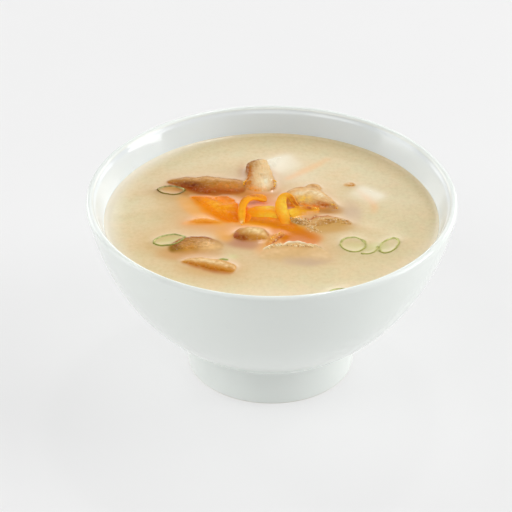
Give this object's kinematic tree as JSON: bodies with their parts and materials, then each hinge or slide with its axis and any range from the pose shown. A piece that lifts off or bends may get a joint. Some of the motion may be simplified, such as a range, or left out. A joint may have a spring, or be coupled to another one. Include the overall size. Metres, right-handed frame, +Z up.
{
  "type": "bowl of miso soup",
  "caption": "Bowl of miso soup: a white footed porcelain bowl filled with pale soup, with mushroom slices, carrot shreds, tofu and scallion rings floating in it.",
  "frame": {"origin": "centre of the foot ring's resting plane, which is the bottom centre of the whole", "axes": "+Z up along the bowl's axis of revolution; +Y away from the usual viewing side; +X to the viewer's right"},
  "size_m": [0.13, 0.13, 0.0688],
  "materials": {
    "porcelain": "glossy white glaze",
    "soup": "wet, pale beige, slightly cloudy",
    "carrot": "wet, orange",
    "carrot_light": "wet, light orange",
    "mushroom_brown": "wet, dark brown skin",
    "mushroom_ochre": "wet, ochre flesh with brown edges",
    "mushroom_pale": "wet, pale beige flesh",
    "tofu": "soft moist white",
    "scallion": "wet, green"
  },
  "bodies": {
    "root": {"bowl": "porcelain", "soup": "soup", "carrot_loop": "carrot_light", "carrot_arch": "carrot_light", "carrot_fork": "carrot_light", "carrot_bar": "carrot_light", "carrot_upper": "carrot", "carrot_blade": "carrot", "carrot_side": "carrot", "carrot_under": "carrot", "carrot_left": "carrot", "carrot_bit": "carrot", "mushroom_stem": "mushroom_pale", "mushroom_long": "mushroom_brown", "mushroom_right": "mushroom_ochre", "mushroom_curl": "mushroom_pale", "mushroom_frill": "mushroom_ochre", "mushroom_button": "mushroom_ochre", "mushroom_left": "mushroom_ochre", "mushroom_front": "mushroom_ochre", "mushroom_pale": "mushroom_pale", "mushroom_bit": "mushroom_ochre", "tofu_back": "tofu", "tofu_right": "tofu", "scallion_left_back": "scallion", "scallion_left_front": "scallion", "scallion_right": "scallion", "scallion_right_arc": "scallion", "scallion_far_right": "scallion", "scallion_front": "scallion", "scallion_bit": "scallion"}
  },
  "joints": []
}
